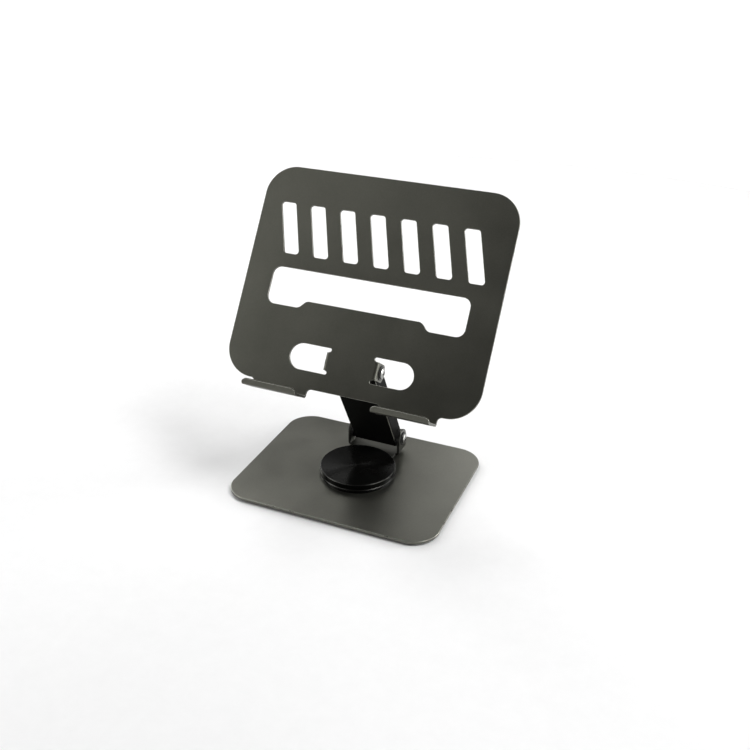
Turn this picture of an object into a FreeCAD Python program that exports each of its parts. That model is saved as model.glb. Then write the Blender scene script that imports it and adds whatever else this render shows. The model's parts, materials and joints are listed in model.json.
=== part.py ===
"""Desk stand for a tablet: a flat steel base, a swivel, an arm on two friction hinges and a cut-out panel.

Millimetres. The origin is on the desk under the middle of the base. +X is to the right of a user who
faces the stand, -Y is towards the user and +Z is up. The stand is modelled in its usual reading pose.
"""
import FreeCAD
import Part
import math
import os

V = FreeCAD.Vector

# Base
BASE_WIDTH = 200.0
BASE_DEPTH = 161.0
BASE_CORNER = 24.5
BASE_SHEET = 2.5
FOOT_RADIUS = 8.0
FOOT_HEIGHT = 2.0
FOOT_INSET = 18.0

# Swivel stack, from the base plate upwards
SEAT_RADIUS = 34.6
SEAT_HEIGHT = 2.5
THRUST_RADIUS = 20.0
THRUST_HEIGHT = 0.5
BRACKET_SHEET = 2.5
BRACKET_RADIUS = 31.6
CAP_RADIUS = 35.6
CAP_HEIGHT = 3.5
CAP_SKIRT = 2.9
CAP_BEVEL = 0.5
CAP_WALL_INSET = 0.5
CAP_RIM_HEIGHT = 1.0
CAP_RECESS_RADIUS = 13.5
CAP_ROOF = 1.2
PIVOT_RADIUS = 5.0
PIVOT_HEAD = 9.0
PIVOT_HEAD_HEIGHT = 1.4
PIVOT_TOP_HEAD = 7.5
PIVOT_TOP_HEIGHT = 1.1
SPRING_RADIUS = 8.5
SPRING_SHEET = 0.3
SMALL_WASHER_HEIGHT = 0.5
SMALL_WASHER_RADIUS = 9.0
SEAT_SCREW_CIRCLE = 26.0
CAP_SCREW_CIRCLE = 24.5
SMALL_SCREW_RADIUS = 1.5
SMALL_HEAD_RADIUS = 2.9
SMALL_HEAD_HEIGHT = 1.6
SEAT_SCREW_LENGTH = 4.6
CAP_SCREW_LENGTH = 4.9

# Hinges and arm
LOWER_HINGE_Y = 47.1
LOWER_HINGE_RISE = 20.3
ARM_LENGTH = 112.4
ARM_LEAN = 30.6
ARM_HALF_WIDTH = 22.0
ARM_SHEET = 1.5
ARM_DEPTH = 15.0
ARM_BEND = 2.0
ARM_LOWER_END = 5.0
ARM_UPPER_END = 5.0
LOWER_EAR_INSIDE = 24.0
LOWER_EAR_RADIUS = 9.0
LOWER_EAR_BEND = 3.5
SPACER_THICKNESS = 1.0
LOWER_WASHER_RADIUS = 8.5
UPPER_WASHER_RADIUS = 7.0
OUTER_WASHER_RADIUS = 6.4
OUTER_WASHER_THICKNESS = 0.8
SPRING_WASHER_RADIUS = 4.4
SPRING_WASHER_THICKNESS = 1.0
SCREW_RADIUS = 2.5
SCREW_HEAD_RADIUS = 4.9
SCREW_HEAD_HEIGHT = 2.4
SCREW_HEAD_RIM = 1.3
SCREW_PAST_NUT = 1.0
CROSS_LENGTH = 5.2
CROSS_WIDTH = 1.1
CROSS_DEPTH = 1.5
NUT_FLATS = 8.0
NUT_HEIGHT = 5.0
NUT_COLLAR = 1.3

# Panel, drawn flat: x across, y up from its bottom edge, z = 0 on its front face
PANEL_WIDTH = 237.0
PANEL_HEIGHT = 195.0
PANEL_CORNER = 27.4
PANEL_SHEET = 2.0
PANEL_TILT = 33.4
PANEL_HINGE_UP = 27.2
PANEL_HINGE_BACK = 11.5
SLOT_COUNT = 7
SLOT_PITCH = 28.8
SLOT_WIDTH = 14.3
SLOT_SHIFT = 14.4
SLOT_BOTTOM = 115.4
SLOT_TOP = 161.6
SLOT_CORNER = 2.8
WINDOW_HALF_WIDTH = 92.5
WINDOW_TOP = 102.7
WINDOW_BOTTOM = 68.6
WINDOW_STEP = 75.7
WINDOW_STEP_HALF = 54.0
WINDOW_SLOPE = 6.5
WINDOW_CORNER = 7.6
WINDOW_STEP_CORNER = 6.0
FINGER_RADIUS = 11.7
FINGER_END = 58.0
RELIEF_RADIUS = 1.6
RELIEF_END = 20.2
EAR_OUTSIDE = 24.5
EAR_BEND = 2.5
EAR_HEIGHT = 16.0
EAR_DEPTH = 21.5
EAR_CORNER = 6.5
HOOK_INNER_END = 34.5
HOOK_OUTER_END = 86.0
HOOK_NECK_FILLET = 4.0
HOOK_DROP = 8.4
HOOK_REACH = 22.6
HOOK_LIP_TOP = -3.6
HOOK_LIP_FLARE = 30.0
HOOK_BEND = 3.0
HOOK_LIP_CORNER = 4.6

# Clearances
RUNNING = 0.06
LOOSE = 0.4
EDGE = 0.4

# Heights and places that follow from the dimensions above
BASE_TOP = FOOT_HEIGHT + BASE_SHEET
SEAT_TOP = BASE_TOP + SEAT_HEIGHT
BRACKET_BOTTOM = SEAT_TOP + THRUST_HEIGHT
BRACKET_TOP = BRACKET_BOTTOM + BRACKET_SHEET
CAP_TOP = BRACKET_TOP + CAP_HEIGHT
LOWER_HINGE_Z = FOOT_HEIGHT + LOWER_HINGE_RISE
UPPER_HINGE_Y = LOWER_HINGE_Y - ARM_LENGTH * math.sin(math.radians(ARM_LEAN))
UPPER_HINGE_Z = LOWER_HINGE_Z + ARM_LENGTH * math.cos(math.radians(ARM_LEAN))
LOWER_EAR_OUTSIDE = LOWER_EAR_INSIDE + BRACKET_SHEET
EAR_INSIDE = EAR_OUTSIDE - PANEL_SHEET


def rounded_outline(corners):
    """Closed wire in the XY plane through (x, y, radius) corners, each corner rounded to its radius."""
    rounds = []
    for index, (x, y, radius) in enumerate(corners):
        corner = V(x, y, 0)
        last = corners[index - 1]
        following = corners[(index + 1) % len(corners)]
        to_last = (V(last[0], last[1], 0) - corner).normalize()
        to_following = (V(following[0], following[1], 0) - corner).normalize()
        if radius == 0:
            rounds.append((corner, None, corner))
            continue
        half_angle = to_last.getAngle(to_following) / 2
        setback = radius / math.tan(half_angle)
        inwards = (to_last + to_following).normalize()
        middle = corner + inwards * (radius / math.sin(half_angle) - radius)
        rounds.append((corner + to_last * setback, middle, corner + to_following * setback))
    edges = []
    for index, (start, middle, end) in enumerate(rounds):
        if middle is not None:
            edges.append(Part.Arc(start, middle, end).toShape())
        next_start = rounds[(index + 1) % len(rounds)][0]
        if (next_start - end).Length > 1e-6:
            edges.append(Part.makeLine(end, next_start))
    return Part.Wire(edges)


def slab(corners, bottom, height):
    """Solid of a rounded outline, from z = bottom upwards."""
    solid = Part.Face(rounded_outline(corners)).extrude(V(0, 0, height))
    solid.translate(V(0, 0, bottom))
    return solid


def slab_along_x(corners, start, length):
    """Solid of a rounded (y, z) outline, from x = start towards +X."""
    solid = slab(corners, 0, length)
    solid.Placement = FreeCAD.Placement(V(start, 0, 0), FreeCAD.Rotation(V(1, 1, 1), 120))
    return solid


def rectangle(half_x, half_y, radius):
    """Corners of a rectangle round the origin."""
    return [(-half_x, -half_y, radius), (half_x, -half_y, radius),
            (half_x, half_y, radius), (-half_x, half_y, radius)]


def turned(profile):
    """Solid turned round the Z axis from (radius, z) points."""
    points = [V(radius, 0, z) for radius, z in profile]
    face = Part.Face(Part.makePolygon(points + points[:1]))
    return face.revolve(V(0, 0, 0), V(0, 0, 1), 360)


def ring(inner, outer, bottom, height):
    """Flat ring or washer round the Z axis."""
    return turned([(inner, bottom), (outer, bottom), (outer, bottom + height), (inner, bottom + height)])


def on_circle(solid, radius, count, first_angle):
    """Copies of a solid spread evenly round the Z axis at a radius."""
    copies = []
    for index in range(count):
        copy = solid.copy()
        copy.translate(V(radius, 0, 0))
        copy.rotate(V(0, 0, 0), V(0, 0, 1), first_angle + 360 / count * index)
        copies.append(copy)
    return copies


def mirrored(solid):
    """The left-hand copy of a right-hand solid."""
    return solid.mirror(V(0, 0, 0), V(1, 0, 0))


def along_x(solid, x, y, z):
    """Lay a solid made along +Z so that it points along +X, with its origin at a point."""
    copy = solid.copy()
    copy.Placement = FreeCAD.Placement(V(x, y, z), FreeCAD.Rotation(V(0, 1, 0), 90))
    return copy


def small_screw(length):
    """Countersunk screw along +Z, with its flat head at z = 0."""
    return turned([(0, 0), (SMALL_HEAD_RADIUS, 0), (SMALL_SCREW_RADIUS, SMALL_HEAD_HEIGHT),
                   (SMALL_SCREW_RADIUS, length), (0, length)])


def small_screw_hole(length):
    """Cutter for a countersunk screw, a running clearance larger all round."""
    return turned([(0, -EDGE), (SMALL_HEAD_RADIUS + RUNNING, -EDGE), (SMALL_HEAD_RADIUS + RUNNING, RUNNING),
                   (SMALL_SCREW_RADIUS + RUNNING, SMALL_HEAD_HEIGHT + RUNNING),
                   (SMALL_SCREW_RADIUS + RUNNING, length + RUNNING), (0, length + RUNNING)])


def seat_screws(maker):
    """The three screws, or their holes, that hold the seat disc from under the base plate."""
    tool = maker(SEAT_SCREW_LENGTH)
    tool.translate(V(0, 0, FOOT_HEIGHT))
    return on_circle(tool, SEAT_SCREW_CIRCLE, 3, 90)


def cap_screws(maker):
    """The three screws, or their holes, that hold the cap from under the bracket."""
    tool = maker(CAP_SCREW_LENGTH)
    tool.translate(V(0, 0, BRACKET_BOTTOM))
    return on_circle(tool, CAP_SCREW_CIRCLE, 3, 30)


def base_plate():
    plate = slab(rectangle(BASE_WIDTH / 2, BASE_DEPTH / 2, BASE_CORNER), FOOT_HEIGHT, BASE_SHEET)
    plate = plate.makeChamfer(EDGE, [edge for edge in plate.Edges if edge.BoundBox.ZLength < EDGE])
    pivot_hole = Part.makeCylinder(PIVOT_RADIUS + RUNNING, BASE_SHEET, V(0, 0, FOOT_HEIGHT))
    return plate.cut([pivot_hole] + seat_screws(small_screw_hole))


def foot(side, end):
    """Rubber foot; side and end are -1 or 1."""
    x = side * (BASE_WIDTH / 2 - FOOT_INSET)
    y = end * (BASE_DEPTH / 2 - FOOT_INSET)
    pad = turned([(0, 0), (FOOT_RADIUS - EDGE, 0), (FOOT_RADIUS, EDGE), (FOOT_RADIUS, FOOT_HEIGHT),
                  (0, FOOT_HEIGHT)])
    pad.translate(V(x, y, 0))
    return pad


def seat_disc():
    disc = turned([(PIVOT_RADIUS + RUNNING, BASE_TOP), (SEAT_RADIUS, BASE_TOP),
                   (SEAT_RADIUS, SEAT_TOP - EDGE), (SEAT_RADIUS - EDGE, SEAT_TOP),
                   (PIVOT_RADIUS + RUNNING, SEAT_TOP)])
    return disc.cut(seat_screws(small_screw_hole))


def pivot_rivet():
    """One turned rivet: wide head under the base plate, shank, and a formed head inside the cap."""
    spring_top = BRACKET_TOP + 2 * SMALL_WASHER_HEIGHT
    return turned([(0, FOOT_HEIGHT - PIVOT_HEAD_HEIGHT), (PIVOT_HEAD - EDGE, FOOT_HEIGHT - PIVOT_HEAD_HEIGHT),
                   (PIVOT_HEAD, FOOT_HEIGHT - PIVOT_HEAD_HEIGHT + EDGE), (PIVOT_HEAD, FOOT_HEIGHT),
                   (PIVOT_RADIUS, FOOT_HEIGHT), (PIVOT_RADIUS, spring_top), (PIVOT_TOP_HEAD, spring_top),
                   (PIVOT_TOP_HEAD, spring_top + PIVOT_TOP_HEIGHT - EDGE),
                   (PIVOT_TOP_HEAD - EDGE, spring_top + PIVOT_TOP_HEIGHT),
                   (0, spring_top + PIVOT_TOP_HEIGHT)])


def disc_spring():
    """Conical spring washer that keeps the swivel tight."""
    bottom = BRACKET_TOP + SMALL_WASHER_HEIGHT
    top = bottom + SMALL_WASHER_HEIGHT
    inner = PIVOT_RADIUS + 2 * RUNNING
    return turned([(inner, top - SPRING_SHEET), (SPRING_RADIUS, bottom),
                   (SPRING_RADIUS, bottom + SPRING_SHEET), (inner, top)])


def hinge_bracket():
    """Stamped bracket: a round plate, a tongue to the rear and two ears bent up from the tongue."""
    rear = LOWER_HINGE_Y + LOWER_EAR_RADIUS
    front = LOWER_HINGE_Y - LOWER_EAR_RADIUS
    top = LOWER_HINGE_Z + LOWER_EAR_RADIUS
    fold = LOWER_EAR_OUTSIDE - LOWER_EAR_BEND
    plate = Part.makeCylinder(BRACKET_RADIUS, BRACKET_SHEET, V(0, 0, BRACKET_BOTTOM))
    tongue = slab([(-fold, 0, 0), (fold, 0, 0), (fold, rear, 0), (-fold, rear, 0)],
                  BRACKET_BOTTOM, BRACKET_SHEET)
    bend = [(fold, BRACKET_BOTTOM, 0), (LOWER_EAR_OUTSIDE, BRACKET_BOTTOM, LOWER_EAR_BEND),
            (LOWER_EAR_OUTSIDE, top, 0), (LOWER_EAR_INSIDE, top, 0),
            (LOWER_EAR_INSIDE, BRACKET_TOP, LOWER_EAR_BEND - BRACKET_SHEET), (fold, BRACKET_TOP, 0)]
    ear = slab(bend, 0, rear - front)
    ear.Placement = FreeCAD.Placement(V(0, rear, 0), FreeCAD.Rotation(V(1, 0, 0), 90))
    side = [(front, BRACKET_BOTTOM, 0), (rear, BRACKET_BOTTOM, 0),
            (rear, top, LOWER_EAR_RADIUS), (front, top, LOWER_EAR_RADIUS)]
    ear = ear.common(slab_along_x(side, 0, LOWER_EAR_OUTSIDE))
    ear = ear.cut(hinge_hole(SCREW_RADIUS + RUNNING, LOWER_EAR_OUTSIDE, LOWER_HINGE_Y, LOWER_HINGE_Z))
    pivot_hole = Part.makeCylinder(PIVOT_RADIUS + RUNNING, BRACKET_SHEET, V(0, 0, BRACKET_BOTTOM))
    bracket = plate.fuse([tongue, ear, mirrored(ear)]).removeSplitter()
    return bracket.cut([pivot_hole] + cap_screws(small_screw_hole))


def cap_disc():
    """Turned cap over the swivel: a bevelled face, a wall that stands back a little from the rim below it,
    and a skirt that hides the round plate and has a gap for the tongue.
    """
    skirt_bottom = SEAT_TOP + LOOSE
    skirt_inside = CAP_RADIUS - CAP_SKIRT
    wall = CAP_RADIUS - CAP_WALL_INSET
    rim_top = skirt_bottom + CAP_RIM_HEIGHT
    disc = turned([(0, CAP_TOP - CAP_ROOF), (CAP_RECESS_RADIUS, CAP_TOP - CAP_ROOF),
                   (CAP_RECESS_RADIUS, BRACKET_TOP), (skirt_inside, BRACKET_TOP),
                   (skirt_inside, skirt_bottom), (CAP_RADIUS, skirt_bottom),
                   (CAP_RADIUS, rim_top - CAP_WALL_INSET), (wall, rim_top),
                   (wall, CAP_TOP - CAP_BEVEL), (wall - CAP_BEVEL, CAP_TOP), (0, CAP_TOP)])
    gap_half = LOWER_EAR_OUTSIDE - LOWER_EAR_BEND + LOOSE
    tongue_gap = slab([(-gap_half, 0, 0), (gap_half, 0, 0), (gap_half, CAP_RADIUS, 0),
                       (-gap_half, CAP_RADIUS, 0)], skirt_bottom, BRACKET_TOP - skirt_bottom)
    return disc.cut([tongue_gap] + cap_screws(small_screw_hole))


def hinge_hole(radius, half_length, y, z):
    """Cutter along X through both sides of a hinge."""
    return Part.makeCylinder(radius, 2 * half_length, V(-half_length, y, z), V(1, 0, 0))


def arm_channel():
    """Folded U channel, drawn upright on the lower hinge and then leaned forwards.

    The web faces forwards (-Y) and the two flanges run back from it.
    """
    front = -ARM_DEPTH / 2
    rear = ARM_DEPTH / 2
    top = ARM_LENGTH + ARM_UPPER_END
    inner = ARM_HALF_WIDTH - ARM_SHEET
    section = [(-ARM_HALF_WIDTH, front, ARM_BEND), (ARM_HALF_WIDTH, front, ARM_BEND),
               (ARM_HALF_WIDTH, rear, 0), (inner, rear, 0),
               (inner, front + ARM_SHEET, ARM_BEND - ARM_SHEET),
               (-inner, front + ARM_SHEET, ARM_BEND - ARM_SHEET), (-inner, rear, 0),
               (-ARM_HALF_WIDTH, rear, 0)]
    channel = slab(section, -ARM_LOWER_END, top + ARM_LOWER_END)
    round_end = rear - EDGE
    side = [(front, -ARM_LOWER_END, 0), (rear, -ARM_LOWER_END, round_end),
            (rear, top, ARM_UPPER_END - EDGE), (front, top, 0)]
    channel = channel.common(slab_along_x(side, -ARM_HALF_WIDTH, 2 * ARM_HALF_WIDTH))
    holes = [hinge_hole(SCREW_RADIUS + RUNNING, ARM_HALF_WIDTH, 0, height) for height in (0, ARM_LENGTH)]
    channel = channel.cut(holes)
    channel.rotate(V(0, 0, 0), V(1, 0, 0), ARM_LEAN)
    channel.translate(V(0, LOWER_HINGE_Y, LOWER_HINGE_Z))
    return channel


def panel_blank():
    """Flat panel with the two necks of its hooks and all its cut-outs."""
    half = PANEL_WIDTH / 2
    neck_end = HOOK_BEND - HOOK_DROP
    outline = [(-half, 0, PANEL_CORNER)]
    for inner, outer in ((-HOOK_OUTER_END, -HOOK_INNER_END), (HOOK_INNER_END, HOOK_OUTER_END)):
        outline += [(inner, 0, HOOK_NECK_FILLET), (inner, neck_end, 0),
                    (outer, neck_end, 0), (outer, 0, HOOK_NECK_FILLET)]
    outline += [(half, 0, PANEL_CORNER), (half, PANEL_HEIGHT, PANEL_CORNER),
                (-half, PANEL_HEIGHT, PANEL_CORNER)]
    cutters = [slab(corners, -PANEL_SHEET, PANEL_SHEET) for corners in cut_outs()]
    return slab(outline, -PANEL_SHEET, PANEL_SHEET).cut(cutters)


def cut_outs():
    """Outlines of the slanted slots, the wide window and the two finger holes with their bend reliefs."""
    outlines = []
    for index in range(SLOT_COUNT):
        middle = (index - (SLOT_COUNT - 1) / 2) * SLOT_PITCH
        left = middle - SLOT_WIDTH / 2
        right = middle + SLOT_WIDTH / 2
        lean = SLOT_SHIFT / 2
        outlines.append([(left + lean, SLOT_BOTTOM, SLOT_CORNER), (right + lean, SLOT_BOTTOM, SLOT_CORNER),
                         (right - lean, SLOT_TOP, SLOT_CORNER), (left - lean, SLOT_TOP, SLOT_CORNER)])
    step_foot = WINDOW_STEP_HALF + WINDOW_SLOPE
    outlines.append([(-WINDOW_HALF_WIDTH, WINDOW_BOTTOM, WINDOW_CORNER),
                     (-step_foot, WINDOW_BOTTOM, WINDOW_STEP_CORNER),
                     (-WINDOW_STEP_HALF, WINDOW_STEP, WINDOW_STEP_CORNER),
                     (WINDOW_STEP_HALF, WINDOW_STEP, WINDOW_STEP_CORNER),
                     (step_foot, WINDOW_BOTTOM, WINDOW_STEP_CORNER),
                     (WINDOW_HALF_WIDTH, WINDOW_BOTTOM, WINDOW_CORNER),
                     (WINDOW_HALF_WIDTH, WINDOW_TOP, WINDOW_CORNER),
                     (-WINDOW_HALF_WIDTH, WINDOW_TOP, WINDOW_CORNER)])
    fold = EAR_OUTSIDE - EAR_BEND
    low = PANEL_HINGE_UP - FINGER_RADIUS
    high = PANEL_HINGE_UP + FINGER_RADIUS
    relief = 2 * RELIEF_RADIUS
    for side in (-1, 1):
        outlines.append([(side * RELIEF_END, low, RELIEF_RADIUS), (side * FINGER_END, low, FINGER_RADIUS),
                         (side * FINGER_END, high, FINGER_RADIUS), (side * RELIEF_END, high, RELIEF_RADIUS),
                         (side * RELIEF_END, high - relief, RELIEF_RADIUS), (side * fold, high - relief, 0),
                         (side * fold, low + relief, 0), (side * RELIEF_END, low + relief, RELIEF_RADIUS)])
    return outlines


def panel_ear():
    """Right-hand ear, bent straight back from the inner end of its finger hole."""
    fold = EAR_OUTSIDE - EAR_BEND
    bend = [(fold, 0, 0), (fold, -PANEL_SHEET, 0), (EAR_INSIDE, -PANEL_SHEET, EAR_BEND - PANEL_SHEET),
            (EAR_INSIDE, -EAR_DEPTH, 0), (EAR_OUTSIDE, -EAR_DEPTH, 0), (EAR_OUTSIDE, 0, EAR_BEND)]
    ear = slab(bend, 0, EAR_HEIGHT)
    ear.Placement = FreeCAD.Placement(V(0, PANEL_HINGE_UP + EAR_HEIGHT / 2, 0),
                                      FreeCAD.Rotation(V(1, 0, 0), 90))
    bottom = PANEL_HINGE_UP - EAR_HEIGHT / 2
    top = PANEL_HINGE_UP + EAR_HEIGHT / 2
    side = [(bottom, 0, 0), (bottom, -EAR_DEPTH, EAR_CORNER), (top, -EAR_DEPTH, EAR_CORNER), (top, 0, 0)]
    ear = ear.common(slab_along_x(side, 0, EAR_OUTSIDE))
    return ear.cut(hinge_hole(SCREW_RADIUS + RUNNING, EAR_OUTSIDE, PANEL_HINGE_UP, -PANEL_HINGE_BACK))


def panel_hook():
    """Right-hand hook: the neck bends forwards into a shelf and the shelf bends up into a flared lip."""
    length = HOOK_OUTER_END - HOOK_INNER_END
    inside = HOOK_BEND - PANEL_SHEET
    shelf = PANEL_SHEET - HOOK_DROP
    flare = math.radians(HOOK_LIP_FLARE)
    lip_out = HOOK_REACH + (HOOK_LIP_TOP + HOOK_DROP) * math.tan(flare)
    lip_fold = HOOK_REACH - PANEL_SHEET * math.tan((math.pi / 2 - flare) / 2)
    profile = [(HOOK_BEND - HOOK_DROP, -PANEL_SHEET, 0), (-HOOK_DROP, -PANEL_SHEET, HOOK_BEND),
               (-HOOK_DROP, HOOK_REACH, HOOK_BEND), (HOOK_LIP_TOP, lip_out, 0),
               (HOOK_LIP_TOP + PANEL_SHEET * math.sin(flare), lip_out - PANEL_SHEET * math.cos(flare), 0),
               (shelf, lip_fold, inside), (shelf, 0, inside), (HOOK_BEND - HOOK_DROP, 0, 0)]
    hook = slab_along_x(profile, HOOK_INNER_END, length)
    top = HOOK_LIP_TOP + PANEL_SHEET * math.sin(flare)
    low = top - HOOK_LIP_CORNER
    lip = [(HOOK_INNER_END, low, 0), (HOOK_OUTER_END, low, 0),
           (HOOK_OUTER_END, top, HOOK_LIP_CORNER), (HOOK_INNER_END, top, HOOK_LIP_CORNER)]
    square = [corner[:2] + (0,) for corner in lip]
    behind = lip_fold - PANEL_SHEET
    through = HOOK_REACH + HOOK_DROP - behind
    return hook.cut(slab(square, behind, through).cut(slab(lip, behind, through)))


def tablet_panel():
    """The whole bent panel, stood up on the upper hinge at its reading tilt."""
    ear = panel_ear()
    hook = panel_hook()
    panel = panel_blank().fuse([ear, mirrored(ear), hook, mirrored(hook)]).removeSplitter()
    panel.translate(V(0, -PANEL_HINGE_UP, PANEL_HINGE_BACK))
    panel.rotate(V(0, 0, 0), V(1, 0, 0), 90 - PANEL_TILT)
    panel.translate(V(0, UPPER_HINGE_Y, UPPER_HINGE_Z))
    return panel


def hinge_screw(tip):
    """Pan-head screw along -Z with a cross recess; its head sits on z = 0 and its tip is at z = -tip."""
    dome = SCREW_HEAD_HEIGHT - SCREW_HEAD_RIM
    dome_radius = (SCREW_HEAD_RADIUS ** 2 + dome ** 2) / (2 * dome)
    half_way = math.asin(SCREW_HEAD_RADIUS / dome_radius) / 2
    rim_foot = V(SCREW_HEAD_RADIUS, 0, 0)
    shoulder = V(SCREW_HEAD_RADIUS, 0, SCREW_HEAD_RIM)
    crown = V(dome_radius * math.sin(half_way), 0,
              SCREW_HEAD_HEIGHT - dome_radius * (1 - math.cos(half_way)))
    summit = V(0, 0, SCREW_HEAD_HEIGHT)
    outline = Part.Wire([Part.makeLine(V(0, 0, 0), rim_foot), Part.makeLine(rim_foot, shoulder),
                         Part.Arc(shoulder, crown, summit).toShape(), Part.makeLine(summit, V(0, 0, 0))])
    head = Part.Face(outline).revolve(V(0, 0, 0), V(0, 0, 1), 360)
    shank = Part.makeCylinder(SCREW_RADIUS, tip, V(0, 0, -tip))
    bottom = SCREW_HEAD_HEIGHT - CROSS_DEPTH
    cross = [slab(rectangle(CROSS_LENGTH / 2, CROSS_WIDTH / 2, 0), bottom, CROSS_DEPTH),
             slab(rectangle(CROSS_WIDTH / 2, CROSS_LENGTH / 2, 0), bottom, CROSS_DEPTH)]
    return head.fuse(shank).removeSplitter().cut(cross)


def lock_nut():
    """Hexagon nut along -Z from z = 0, with a round locking collar at its far end."""
    corner = NUT_FLATS / math.sqrt(3)
    hexagon = [(corner * math.cos(math.radians(60 * k)), corner * math.sin(math.radians(60 * k)), 0)
               for k in range(6)]
    body = slab(hexagon, NUT_COLLAR - NUT_HEIGHT, NUT_HEIGHT - NUT_COLLAR)
    collar = Part.makeCylinder(NUT_FLATS / 2 - EDGE, NUT_COLLAR, V(0, 0, -NUT_HEIGHT))
    bore = Part.makeCylinder(SCREW_RADIUS + RUNNING, NUT_HEIGHT, V(0, 0, -NUT_HEIGHT))
    return body.fuse(collar).removeSplitter().cut(bore)


def hinge_fasteners(ear_outside, ear_inside, washer_radius, spacer, y, z):
    """The pieces of one right-hand hinge station, each by its name, from the outside inwards."""
    flange_inside = ARM_HALF_WIDTH - ARM_SHEET
    nut_outside = flange_inside - SPRING_WASHER_THICKNESS
    hole = SCREW_RADIUS + RUNNING
    head_seat = ear_outside + OUTER_WASHER_THICKNESS
    tip = head_seat - nut_outside + NUT_HEIGHT + SCREW_PAST_NUT
    friction_start = ARM_HALF_WIDTH + spacer
    pieces = {
        "screw": along_x(hinge_screw(tip), head_seat, y, z),
        "outer_washer": along_x(ring(hole, OUTER_WASHER_RADIUS, 0, OUTER_WASHER_THICKNESS),
                                ear_outside, y, z),
        "friction_washer": along_x(ring(hole, washer_radius, 0, ear_inside - friction_start),
                                   friction_start, y, z),
        "spring_washer": along_x(ring(hole, SPRING_WASHER_RADIUS, 0, SPRING_WASHER_THICKNESS),
                                 nut_outside, y, z),
        "lock_nut": along_x(lock_nut(), nut_outside, y, z),
    }
    if spacer:
        pieces["spacer"] = along_x(ring(hole, washer_radius, 0, spacer), ARM_HALF_WIDTH, y, z)
    return pieces


def all_parts():
    """Every part of the stand by its name."""
    parts = {"base_plate": base_plate()}
    for side, side_name in ((-1, "left"), (1, "right")):
        for end, end_name in ((-1, "front"), (1, "rear")):
            parts["foot_" + end_name + "_" + side_name] = foot(side, end)
    hole = PIVOT_RADIUS + RUNNING
    parts["seat_disc"] = seat_disc()
    parts["seat_screws"] = Part.makeCompound(seat_screws(small_screw))
    parts["pivot_rivet"] = pivot_rivet()
    parts["thrust_washer"] = ring(hole, THRUST_RADIUS, SEAT_TOP, THRUST_HEIGHT)
    parts["sliding_washer"] = ring(hole, SMALL_WASHER_RADIUS, BRACKET_TOP, SMALL_WASHER_HEIGHT)
    parts["disc_spring"] = disc_spring()
    parts["hinge_bracket"] = hinge_bracket()
    parts["cap_disc"] = cap_disc()
    parts["cap_screws"] = Part.makeCompound(cap_screws(small_screw))
    parts["arm_channel"] = arm_channel()
    parts["tablet_panel"] = tablet_panel()
    stations = {
        "lower": hinge_fasteners(LOWER_EAR_OUTSIDE, LOWER_EAR_INSIDE, LOWER_WASHER_RADIUS, SPACER_THICKNESS,
                                 LOWER_HINGE_Y, LOWER_HINGE_Z),
        "upper": hinge_fasteners(EAR_OUTSIDE, EAR_INSIDE, UPPER_WASHER_RADIUS, 0,
                                 UPPER_HINGE_Y, UPPER_HINGE_Z),
    }
    for station, pieces in stations.items():
        for piece, solid in pieces.items():
            parts[station + "_" + piece + "_right"] = solid
            parts[station + "_" + piece + "_left"] = mirrored(solid)
    return parts


os.makedirs("parts", exist_ok=True)
for name, shape in all_parts().items():
    shape.exportStep("parts/" + name + ".step")
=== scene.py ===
"""Desk stand for a tablet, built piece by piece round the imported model. Lengths are in metres."""
import bmesh
import bpy
import json
import math
from mathutils import Matrix, Vector


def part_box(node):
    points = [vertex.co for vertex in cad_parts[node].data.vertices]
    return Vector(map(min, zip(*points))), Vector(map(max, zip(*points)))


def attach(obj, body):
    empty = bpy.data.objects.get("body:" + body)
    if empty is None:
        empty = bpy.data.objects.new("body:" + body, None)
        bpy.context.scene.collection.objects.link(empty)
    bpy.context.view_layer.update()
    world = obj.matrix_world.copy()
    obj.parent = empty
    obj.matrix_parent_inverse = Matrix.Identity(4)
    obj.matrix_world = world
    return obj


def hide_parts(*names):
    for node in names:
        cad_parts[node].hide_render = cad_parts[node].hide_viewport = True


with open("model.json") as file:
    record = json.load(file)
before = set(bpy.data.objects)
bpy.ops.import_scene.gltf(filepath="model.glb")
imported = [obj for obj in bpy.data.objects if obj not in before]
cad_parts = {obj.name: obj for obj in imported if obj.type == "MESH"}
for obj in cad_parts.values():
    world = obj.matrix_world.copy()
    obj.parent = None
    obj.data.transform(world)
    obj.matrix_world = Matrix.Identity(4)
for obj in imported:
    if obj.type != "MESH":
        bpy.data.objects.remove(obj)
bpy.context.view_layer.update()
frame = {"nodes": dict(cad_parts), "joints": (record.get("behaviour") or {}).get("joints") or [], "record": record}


# Rubber feet
# Four moulded rubber pads stuck under the corners of the base. Each has a rounded rim and a shallow
# hollow in its sole, so that it grips the desk.
foot_rim_round = 0.0005
foot_hollow = 0.0005
foot_hollow_edge = 0.0001
foot_steps = 64
arc_middle = 0.3
weld_distance = 1e-7


def node_group(name, inputs, outputs):
    """A shader node group with number or vector sockets, and its input and output nodes."""
    group = bpy.data.node_groups.new(name, "ShaderNodeTree")
    for socket, kind, value in inputs:
        made_socket = group.interface.new_socket(socket, in_out="INPUT", socket_type="NodeSocket" + kind)
        if value is not None:
            made_socket.default_value = value
    for socket, kind in outputs:
        group.interface.new_socket(socket, in_out="OUTPUT", socket_type="NodeSocket" + kind)
    return group, group.nodes.new("NodeGroupInput"), group.nodes.new("NodeGroupOutput")


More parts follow.
